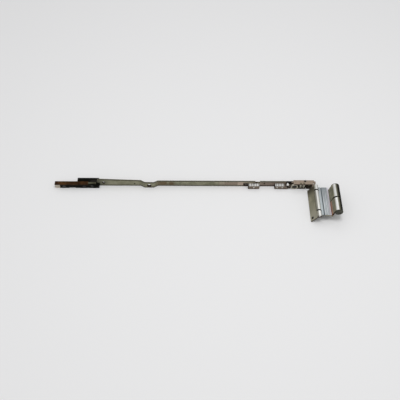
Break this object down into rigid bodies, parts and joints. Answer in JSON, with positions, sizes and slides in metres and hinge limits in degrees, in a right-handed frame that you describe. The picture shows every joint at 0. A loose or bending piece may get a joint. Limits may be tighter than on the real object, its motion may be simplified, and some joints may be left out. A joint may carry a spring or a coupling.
{
  "type": "tilt-turn window stay",
  "caption": "Stay arm for a tilt-and-turn window: flat joggled bar with a double-axis hinge, a screw-on frame leaf, guide blocks, a catch lever and a sliding shoe.",
  "frame": {"origin": "midway between the two frame screws, on the underside of the frame leaf's foot", "axes": "+X along the arm towards the hinge end, +Y along the hinge pins (up when the window is fitted), +Z away from the surface it lies on"},
  "size_m": [0.4975, 0.0853, 0.032],
  "materials": {
    "bar_steel": "dull zinc and chromate",
    "olive_steel": "olive chromate",
    "silver_plate": "bright zinc",
    "bright_zinc": "bright zinc",
    "spring_steel": "drawn wire",
    "black_nylon": "moulded",
    "black_steel": "black finish",
    "bronze": "dull bronze",
    "ivory_nylon": "moulded"
  },
  "bodies": {
    "arm": {"stay_arm": "bar_steel", "arm_bracket": "olive_steel", "bracket_rivets": "olive_steel", "inner_hinge_pin": "bright_zinc", "fixed_guide_block": "bright_zinc", "fixed_block_rivets": "bright_zinc", "stop_pin": "bright_zinc", "lever_pivot": "olive_steel", "lever_washer": "bright_zinc", "spring_post": "olive_steel", "lever_spring": "spring_steel"},
    "link": {"link_plate": "silver_plate", "knuckle_leaf": "olive_steel", "link_rivets": "silver_plate", "outer_hinge_bush": "bronze", "outer_hinge_washer": "black_nylon", "outer_hinge_cap_upper": "black_nylon", "inner_hinge_washers": "black_nylon"},
    "frame": {"frame_leaf": "olive_steel", "outer_hinge_pin": "bright_zinc", "outer_hinge_cap_lower": "black_nylon"},
    "lever": {"catch_lever": "olive_steel"},
    "block": {"sliding_guide_block": "bright_zinc", "block_keeper": "olive_steel", "block_rivet": "bright_zinc"},
    "shoe": {"shoe_body": "black_steel", "shoe_strip": "bronze", "shoe_tip": "ivory_nylon", "shoe_lug": "olive_steel", "shoe_rail": "black_steel", "shoe_pivot": "bright_zinc", "shoe_screws": "bright_zinc"}
  },
  "joints": [
    {"name": "inner_hinge", "type": "hinge", "parent": "arm", "child": "link", "pos_m": [-0.012, 0, 0.01755], "axis": [0, -1, 0], "range_deg": [0, 90]},
    {"name": "outer_hinge", "type": "hinge", "parent": "link", "child": "frame", "pos_m": [0.0195, 0, 0.025], "axis": [0, -1, 0], "range_deg": [0, 110]},
    {"name": "lever_pivot", "type": "hinge", "parent": "arm", "child": "lever", "pos_m": [-0.047, 0.04, 0.006], "axis": [0, 1, 0], "range_deg": [0, 20]},
    {"name": "block_slide", "type": "slide", "parent": "arm", "child": "block", "axis": [-1, 0, 0], "range_m": [0, 0.012]},
    {"name": "shoe_pivot", "type": "hinge", "parent": "arm", "child": "shoe", "pos_m": [-0.405, 0.045, 0.0055], "axis": [0, 1, 0], "range_deg": [-25, 25]}
  ]
}
